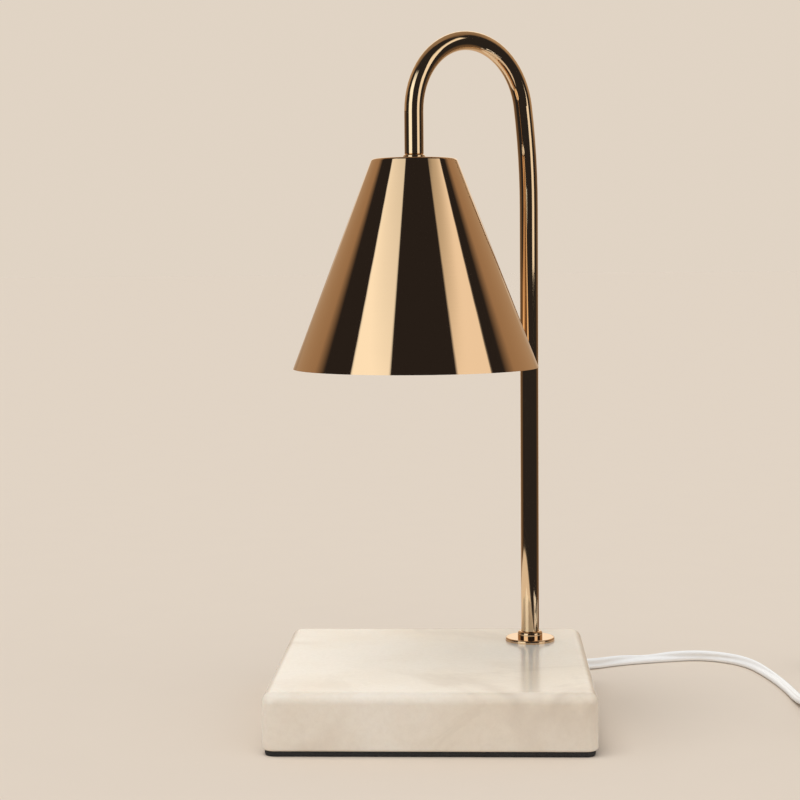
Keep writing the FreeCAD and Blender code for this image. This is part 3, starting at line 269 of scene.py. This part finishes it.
def part_of(made, vector, axis):
    split = node(made, "SeparateXYZ")
    join(made, vector, split.inputs["Vector"])
    return split.outputs[axis]


def noise(made, scale, detail=4, roughness=0.5, distortion=0.0, at=None):
    new = node(
        made, "TexNoise", Scale=scale, Detail=detail, Roughness=roughness, Distortion=distortion,
    )
    join(made, at or place_of(made), new.inputs["Vector"])
    return new.outputs["Fac"]


def cells(made, scale):
    new = node(made, "TexVoronoi", Scale=scale)
    join(made, place_of(made), new.inputs["Vector"])
    return new.outputs["Distance"]


def ramp(made, factor, stops):
    new = node(made, "ValToRGB")
    while len(new.color_ramp.elements) < len(stops):
        new.color_ramp.elements.new(1)
    for element, (place, colour) in zip(new.color_ramp.elements, stops):
        element.position = place
        element.color = (*colour, 1)
    join(made, factor, new.inputs["Fac"])
    return new.outputs["Color"]


def stretched(made, factor, low, high):
    """Turns low..high into 0..1."""
    return ramp(made, factor, [(low, (0, 0, 0)), (high, (1, 1, 1))])


def between(made, factor, low, high):
    """Turns 0..1 into low..high."""
    new = node(made, "MapRange")
    new.inputs["To Min"].default_value = low
    new.inputs["To Max"].default_value = high
    join(made, factor, new.inputs["Value"])
    return new.outputs["Result"]


def eased(made, value, start, end):
    """0 at start and 1 at end, with a soft step between them."""
    new = node(made, "MapRange", interpolation_type="SMOOTHSTEP")
    new.inputs["From Min"].default_value = start
    new.inputs["From Max"].default_value = end
    join(made, value, new.inputs["Value"])
    return new.outputs["Result"]


def mixed(made, factor, first, second):
    """A colour between two, each a tuple or another node's output."""
    new = node(made, "Mix", data_type="RGBA")
    join(made, factor, new.inputs["Factor"])
    for name, value in (("A", first), ("B", second)):
        socket = next(i for i in new.inputs if i.name == name and i.type == "RGBA")
        if isinstance(value, tuple):
            socket.default_value = (*value, 1)
        else:
            join(made, value, socket)
    return next(o for o in new.outputs if o.type == "RGBA")


def maths(made, operation, *values):
    """A sum of numbers and other nodes' outputs."""
    new = node(made, "Math", operation=operation)
    for socket, value in zip(new.inputs, values):
        if isinstance(value, (int, float)):
            socket.default_value = value
        else:
            join(made, value, socket)
    return new.outputs["Value"]


def bumped(made, shader, *heights):
    """Stacks bumps given as (height, depth in metres)."""
    last = None
    for height, depth in heights:
        new = node(made, "Bump", Distance=depth, Strength=1.0)
        join(made, height, new.inputs["Height"])
        if last is not None:
            join(made, last, new.inputs["Normal"])
        last = new.outputs["Normal"]
    join(made, last, shader.inputs["Normal"])


def dimmed(colour, share):
    return tuple(share * part for part in colour)


# Materials. A noise is given by its scale, in features per metre, and its detail.

MARBLE_WHITE = (0.90, 0.835, 0.74)
MARBLE_WARM = (0.83, 0.73, 0.60)
MARBLE_GREY = (0.68, 0.585, 0.485)
# Scale, width, shift and strength of the broad veins and of the fine ones.
VEINS = [(9, 0.08, 3.1, 0.62), (21, 0.04, 7.7, 0.2)]
CRYSTAL_STRENGTH = 0.17
# Where the upward part of its normal is below this, the shade is satin: that is its inside.
FACING_DOWN = -0.15
PARTING_HEIGHT = 8.5 * MM
PARTING_WIDE = 0.25 * MM
PARTING_DEEP = 0.1 * MM


def vein(made, scale, width, shift):
    """A line where a warped noise crosses its middle: 1 on the line, 0 away from it."""
    moved = node(made, "VectorMath", operation="ADD")
    moved.inputs[1].default_value = (shift, shift * 0.7, -shift)
    join(made, place_of(made), moved.inputs[0])
    field = noise(made, scale, 5, roughness=0.55, distortion=0.8, at=moved.outputs["Vector"])
    away = maths(made, "ABSOLUTE", maths(made, "SUBTRACT", field, 0.5))
    return eased(made, away, width, 0)


def marble():
    """Warm clouds, veins that fade in and out, fine crystals and a polished, waxy surface."""
    made, shader = material("marble", (0.90, 0.83, 0.74), 0.2)
    cloud = stretched(made, noise(made, 14, 3), 0.38, 0.68)
    colour = mixed(made, cloud, MARBLE_WHITE, MARBLE_WARM)
    fade = stretched(made, noise(made, 11, 2), 0.42, 0.62)
    for scale, width, shift, strength in VEINS:
        line = maths(made, "MULTIPLY", vein(made, scale, width, shift), fade)
        colour = mixed(made, maths(made, "MULTIPLY", line, strength), colour, MARBLE_GREY)
    crystals = stretched(made, noise(made, 420, 4, roughness=0.7), 0.40, 0.66)
    speckle = maths(made, "MULTIPLY", crystals, CRYSTAL_STRENGTH)
    colour = mixed(made, speckle, colour, MARBLE_GREY)
    finished(made, shader, colour, between(made, noise(made, 60, 3), 0.16, 0.26))
    shader.inputs["Subsurface Weight"].default_value = 0.12
    shader.inputs["Subsurface Radius"].default_value = (1.0, 0.7, 0.5)
    shader.inputs["Subsurface Scale"].default_value = 0.006
    shader.inputs["Coat Weight"].default_value = 0.15
    shader.inputs["Coat Roughness"].default_value = 0.12
    bumped(made, shader, (noise(made, 500, 3), 0.02 * MM))
    return made


def polished(name, colour, roughness=0.045):
    """Polished metal with faint smudges."""
    made, shader = material(name, colour, roughness, 1)
    smudge = noise(made, 45)
    gloss = between(made, smudge, roughness * 0.6, roughness * 1.5)
    finished(made, shader, mixed(made, smudge, dimmed(colour, 0.97), colour), gloss)
    return made


def spun_shade():
    """Polished outside with faint spinning rings, satin inside, where the surface faces down."""
    made = polished("rose_gold", (0.87, 0.62, 0.40), 0.03)
    shader = made.node_tree.nodes["Principled BSDF"]
    facing = part_of(made, node(made, "NewGeometry").outputs["Normal"], "Z")
    blend = node(made, "Mix", data_type="FLOAT")
    join(made, maths(made, "LESS_THAN", facing, FACING_DOWN), blend.inputs["Factor"])
    join(made, shader.inputs["Roughness"].links[0].from_socket, blend.inputs["A"])
    join(made, between(made, noise(made, 400, 3), 0.3, 0.42), blend.inputs["B"])
    join(made, blend.outputs["Result"], shader.inputs["Roughness"])
    height = node(made, "CombineXYZ")
    join(made, part_of(made, place_of(made), "Z"), height.inputs["Z"])
    rings = noise(made, 700, 2, at=height.outputs["Vector"])
    bumped(made, shader, (rings, 0.002 * MM))
    return made


def cord_plastic():
    """Soft vinyl, made once: the cords need it before the CAD nodes do."""
    found = bpy.data.materials.get("cord_plastic")
    if found:
        return found
    made, shader = material("cord_plastic", (0.83, 0.82, 0.80), 0.3)
    tone = mixed(made, noise(made, 90, 3), (0.80, 0.775, 0.745), (0.86, 0.84, 0.81))
    finished(made, shader, tone, between(made, noise(made, 300, 3), 0.24, 0.36))
    shader.inputs["Coat Weight"].default_value = 0.3
    bumped(made, shader, (noise(made, 900, 2), 0.02 * MM))
    return made


def moulded(name, colour, roughness=0.4, parting=None):
    """Injection-moulded plastic with a fine spark-eroded surface, and its parting line if any."""
    made, shader = material(name, colour, roughness)
    tone = mixed(made, noise(made, 120, 3), dimmed(colour, 0.93), colour)
    grain = noise(made, 2600, 2)
    heights = [(grain, 0.04 * MM)]
    if parting is not None:
        height = part_of(made, place_of(made), "Z")
        away = maths(made, "ABSOLUTE", maths(made, "SUBTRACT", height, parting))
        line = maths(made, "LESS_THAN", away, PARTING_WIDE / 2)
        tone = mixed(made, line, tone, dimmed(colour, 0.45))
        heights.append((maths(made, "SUBTRACT", 1, line), PARTING_DEEP))
    finished(made, shader, tone, between(made, grain, roughness * 0.8, roughness * 1.2))
    bumped(made, shader, *heights)
    return made


def foam():
    made, shader = material("foam", (0.02, 0.02, 0.021), 0.9)
    open_cells = cells(made, 2200)
    # Painted shade: the colour is darkest in the middle of each cell, where the bump sinks into a
    # pit.
    finished(made, shader, mixed(made, open_cells, (0.012, 0.012, 0.013), (0.045, 0.044, 0.044)))
    bumped(made, shader, (open_cells, 0.15 * MM))
    return made


def plated():
    """Zinc-plated steel with fine scratches."""
    made, shader = material("zinc_steel", (0.62, 0.62, 0.60), 0.3, 1)
    tone = mixed(made, noise(made, 150, 3), (0.58, 0.57, 0.54), (0.70, 0.70, 0.69))
    finished(made, shader, tone, between(made, noise(made, 800, roughness=0.6), 0.2, 0.42))
    return made


def ceramic():
    made, shader = material("ceramic", (0.78, 0.74, 0.67), 0.5)
    finished(made, shader, mixed(made, noise(made, 900, 2), (0.70, 0.65, 0.57), (0.84, 0.81, 0.75)))
    bumped(made, shader, (noise(made, 1500, 3), 0.05 * MM))
    return made


def clear_glass():
    colour = (0.98, 0.98, 0.97)
    made, shader = material("clear_glass", colour, 0.03)
    shader.inputs["Transmission Weight"].default_value = 1
    shader.inputs["IOR"].default_value = 1.46
    tone = mixed(made, noise(made, 120, 3), dimmed(colour, 0.95), colour)
    finished(made, shader, tone, between(made, noise(made, 300, 3), 0.02, 0.06))
    bumped(made, shader, (noise(made, 260, 2), 0.02 * MM))
    return made


def reflector_glass():
    """A bulb's mirrored reflector, pressed into small facets."""
    made, shader = material("bulb_glass", (0.86, 0.86, 0.87), 0.12, 1)
    facets = cells(made, 320)
    # Painted shade: each facet's colour is darker in its middle, where the bump sinks, and lighter
    # at its rim.
    finished(made, shader, mixed(made, facets, (0.75, 0.75, 0.77), (0.92, 0.92, 0.92)))
    bumped(made, shader, (facets, 0.25 * MM))
    return made


def board():
    """Green circuit board; its tracks are brick joints."""
    made, shader = material("board", (0.03, 0.16, 0.07), 0.4)
    tracks = node(made, "TexBrick", Scale=180)
    join(made, place_of(made), tracks.inputs["Vector"])
    tone = mixed(made, tracks.outputs["Fac"], (0.02, 0.11, 0.05), (0.06, 0.24, 0.10))
    finished(made, shader, tone)
    return made


MATERIALS = {
    "marble": marble,
    "gold": lambda: polished("gold", (0.93, 0.71, 0.47)),
    "rose_gold": spun_shade,
    "zinc_steel": plated,
    "rubber": lambda: moulded("rubber", (0.03, 0.03, 0.03), 0.7),
    "cord_plastic": cord_plastic,
    "wire_brown": lambda: moulded("wire_brown", (0.16, 0.07, 0.03)),
    "wire_white": lambda: moulded("wire_white", (0.72, 0.71, 0.68)),
    "clear_glass": clear_glass,
    "bulb_glass": reflector_glass,
    "block_plastic": lambda: moulded("block_plastic", (0.70, 0.69, 0.64)),
    "white_plastic": lambda: moulded("white_plastic", (0.80, 0.785, 0.76), 0.36, PARTING_HEIGHT),
    "wheel_plastic": lambda: moulded("wheel_plastic", (0.30, 0.30, 0.31)),
    "board": board,
    "ceramic": ceramic,
    "tie": lambda: moulded("tie", (0.05, 0.05, 0.052), 0.75),
    "foam": foam,
}


def finish_nodes():
    """Gives every CAD node the material of its slot, and returns the materials by slot."""
    made = {}
    subparts = {part["node"]: part for part in frame["record"]["subparts"]}
    for name, item in nodes.items():
        slot = subparts[name]["material_slot"]
        if slot not in made:
            made[slot] = MATERIALS[slot]()
        item.data.materials.clear()
        item.data.materials.append(made[slot])
    return made


# Foam pad

PAD_CORNER = 4.8 * MM
PAD_CORNER_STEPS = 8
PAD_BULGE = 0.3 * MM
PAD_BULGE_STEPS = 6


def foam_pad(finish):
    """A die-cut foam sheet whose edge bulges a little under the slab."""
    low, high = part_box("base_pad")
    pad = bmesh.new()
    half_x, half_y = (high.x - low.x) / 2, (high.y - low.y) / 2
    middle = (low + high) / 2
    rows = []
    for row in range(PAD_BULGE_STEPS + 1):
        share = row / PAD_BULGE_STEPS
        radius = PAD_CORNER + PAD_BULGE * (math.sin(math.pi * share) - 1)
        ring = []
        for quarter in range(4):
            for step in range(PAD_CORNER_STEPS + 1):
                angle = math.radians(90 * (quarter + step / PAD_CORNER_STEPS))
                sign_x = 1 if quarter in (0, 3) else -1
                sign_y = 1 if quarter in (0, 1) else -1
                x = sign_x * (half_x - PAD_CORNER) + radius * math.cos(angle)
                y = sign_y * (half_y - PAD_CORNER) + radius * math.sin(angle)
                z = low.z + (high.z - low.z) * share
                ring.append(pad.verts.new((middle.x + x, middle.y + y, z)))
        rows.append(ring)
    count = len(rows[0])
    for under, over in zip(rows, rows[1:]):
        for index in range(count):
            following = (index + 1) % count
            pad.faces.new((under[index], under[following], over[following], over[index]))
    pad.faces.new(rows[-1])
    pad.faces.new(rows[0][::-1])
    data = bpy.data.meshes.new("foam_pad")
    pad.to_mesh(data)
    pad.free()
    data.materials.append(finish)
    piece = bpy.data.objects.new("foam_pad", data)
    bpy.context.scene.collection.objects.link(piece)
    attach(piece, "lamp")
    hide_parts("base_pad")


# Studio. Shiny surfaces mirror a dark room with light panels and a tan wall behind the lamp; the
# light on everything is even. Azimuths are in degrees from the front, towards +X.

EVEN_LIGHT = 0.58
FLOOR_COLOUR = (0.74, 0.645, 0.545)
FLOOR_RADIUS = 30
FLOOR_SIDES = 64
BACKDROP = (0.750, 0.657, 0.555)
DARK = (0.0235, 0.021, 0.0215)
CREAM = (1.18, 1.22, 1.165)
DIM_CREAM = (1.01, 0.94, 0.83)
DIM_TAN = (0.70, 0.63, 0.50)
# The wall from its sides round to its middle: azimuth and colour.
WALL = [(112, (0.375, 0.252, 0.152)), (156, (0.48, 0.345, 0.22)), (168, (1.15, 1.03, 0.86))]
SHADED_WALL = [
    (112, (0.13, 0.082, 0.047)), (138, (0.16, 0.10, 0.06)), (156, (0.42, 0.30, 0.19)),
    (168, (0.60, 0.45, 0.32)),
]
HIGH_WALL = [(112, (0.36, 0.24, 0.145)), (156, (0.44, 0.31, 0.195))]
# Half the width of a panel's soft edge, in degrees.
PANEL_BLUR = 0.7


def round_about(wall, *panels, dark_to=98):
    """The room all round: light panels on a dark front, then the wall, alike on both sides.

    A panel is its first azimuth, its last one and its colour.
    """
    stops = [(-angle, colour) for angle, colour in wall[::-1]] + [(-dark_to, DARK)]
    for start, end, colour in panels:
        stops += [(start - PANEL_BLUR, DARK), (start + PANEL_BLUR, colour)]
        stops += [(end - PANEL_BLUR, colour), (end + PANEL_BLUR, DARK)]
    return stops + [(dark_to, DARK)] + wall


LOW_PANELS = [(-61, -23, CREAM), (42, 71, DIM_CREAM)]
LEFT_PANEL = (-66.5, -25, CREAM)
# The room from the ground up. Each level but the lowest takes over from the one below it between
# two heights, which are sines of the height angle.
LEVELS = [
    (None, round_about(SHADED_WALL, *LOW_PANELS)),
    ((0.07, 0.12), round_about(WALL, *LOW_PANELS)),
    ((0.36, 0.44), round_about(WALL, LEFT_PANEL, (45, 82.5, DIM_CREAM))),
    ((0.56, 0.66), round_about(HIGH_WALL, LEFT_PANEL, (45, 82.5, DIM_TAN))),
    ((0.65, 0.71), round_about(HIGH_WALL, LEFT_PANEL)),
    ((0.71, 0.80), round_about(HIGH_WALL, dark_to=82)),
]
# How far the room is dimmed towards DARK, by the sine of the height angle.
DIMMING = [(0.0, 0.08), (0.582, 0.02), (0.625, 0.15), (0.677, 0.27), (0.71, 0.33)]
# What is mirrored of the floor beyond the table. TABLE_EDGE is where the table gives way to it, as
# a distance from TABLE_MIDDLE.
FAR_GROUND = round_about(SHADED_WALL)
TABLE_MIDDLE = (-0.12, 0.0, 0.0)
TABLE_EDGE = (0.28, 0.32)


def surround(made, direction, stops):
    """The colour that the stops give at a direction's azimuth."""
    front = maths(made, "MULTIPLY", part_of(made, direction, "Y"), -1)
    azimuth = maths(made, "ARCTAN2", part_of(made, direction, "X"), front)
    around = maths(made, "MULTIPLY_ADD", azimuth, 0.5 / math.pi, 0.5)
    return ramp(made, around, [((angle + 180) / 360, colour) for angle, colour in stops])


def make_floor():
    """A wide matt table top, which is mirrored only as far as TABLE_EDGE."""
    data = bpy.data.meshes.new("floor")
    shape = bmesh.new()
    bmesh.ops.create_circle(shape, cap_ends=True, segments=FLOOR_SIDES, radius=FLOOR_RADIUS)
    shape.to_mesh(data)
    shape.free()
    made, shader = material("floor", FLOOR_COLOUR, 0.9)
    shader.inputs["Specular IOR Level"].default_value = 0
    tone = mixed(made, noise(made, 30, 3), dimmed(FLOOR_COLOUR, 0.985), FLOOR_COLOUR)
    finished(made, shader, tone)
    place = place_of(made)
    away = node(made, "VectorMath", operation="DISTANCE")
    join(made, place, away.inputs[0])
    away.inputs[1].default_value = TABLE_MIDDLE
    beyond = eased(made, away.outputs["Value"], *TABLE_EDGE)
    mirrored = node(made, "LightPath").outputs["Is Glossy Ray"]
    ground = node(made, "Emission")
    join(made, surround(made, place, FAR_GROUND), ground.inputs["Color"])
    blend = node(made, "MixShader")
    join(made, maths(made, "MULTIPLY", mirrored, beyond), blend.inputs[0])
    join(made, shader.outputs["BSDF"], blend.inputs[1])
    join(made, ground.outputs["Emission"], blend.inputs[2])
    output = made.node_tree.nodes["Material Output"]
    join(made, blend.outputs["Shader"], output.inputs["Surface"])
    data.materials.append(made)
    floor = bpy.data.objects.new("floor", data)
    bpy.context.scene.collection.objects.link(floor)


def make_world():
    """An even light, a pale background, and the room that shiny surfaces mirror."""
    world = bpy.data.worlds.new("studio")
    world.use_nodes = True
    bpy.context.scene.world = world
    world.node_tree.nodes.clear()
    direction = node(world, "TexCoord").outputs["Generated"]
    height = part_of(world, direction, "Z")
    room = None
    for heights, stops in LEVELS:
        level = surround(world, direction, stops)
        room = mixed(world, eased(world, height, *heights), room, level) if heights else level
    dimming = ramp(world, height, [(place, (share,) * 3) for place, share in DIMMING])
    room = mixed(world, dimming, room, DARK)
    rays = node(world, "LightPath").outputs
    light = mixed(world, rays["Is Glossy Ray"], (EVEN_LIGHT,) * 3, room)
    light = mixed(world, rays["Is Camera Ray"], light, BACKDROP)
    light = mixed(world, rays["Is Transmission Ray"], light, BACKDROP)
    background = node(world, "Background")
    join(world, light, background.inputs["Color"])
    output = node(world, "OutputWorld")
    join(world, background.outputs["Background"], output.inputs["Surface"])


# Suns that nothing mirrors: name, strength, and soft angle and turn in degrees.
LAMPS = [("key", 1.25, 40, (14, -12, -22)), ("fill", 0.35, 60, (52, 8, 35))]


def make_lamps():
    for name, energy, size, turn in LAMPS:
        data = bpy.data.lights.new(name, "SUN")
        data.energy = energy
        data.angle = math.radians(size)
        lamp = bpy.data.objects.new(name, data)
        lamp.rotation_euler = [math.radians(t) for t in turn]
        lamp.visible_glossy = False
        bpy.context.scene.collection.objects.link(lamp)


make_camera()
make_cords()
finishes = finish_nodes()
foam_pad(finishes["foam"])
make_floor()
make_world()
make_lamps()
bpy.context.scene.view_settings.view_transform = "Standard"
